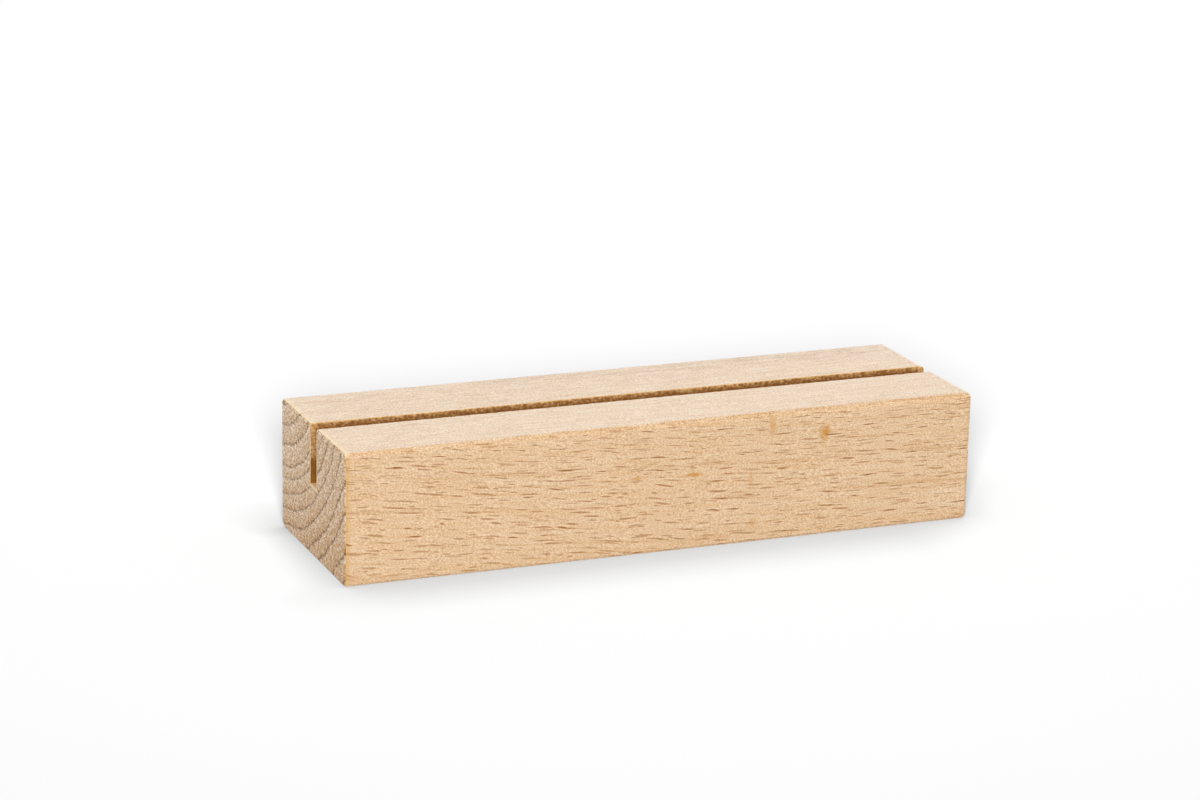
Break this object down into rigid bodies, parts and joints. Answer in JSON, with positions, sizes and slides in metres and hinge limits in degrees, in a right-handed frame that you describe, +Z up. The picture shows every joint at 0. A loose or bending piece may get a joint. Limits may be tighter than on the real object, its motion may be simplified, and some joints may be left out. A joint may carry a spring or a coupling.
{
  "type": "place card holder",
  "caption": "Low rectangular block of solid beech with sanded arrises and a straight saw-cut slot along its top, open at both ends, that holds a card upright.",
  "frame": {"origin": "middle of the base, on the surface that the block stands on", "axes": "+X along the block and its slot, +Y from the front face to the back face, +Z up"},
  "size_m": [0.1, 0.03, 0.02],
  "materials": {
    "beech": "planed and sanded, with no lacquer"
  },
  "bodies": {
    "root": {"block": "beech"}
  },
  "joints": []
}
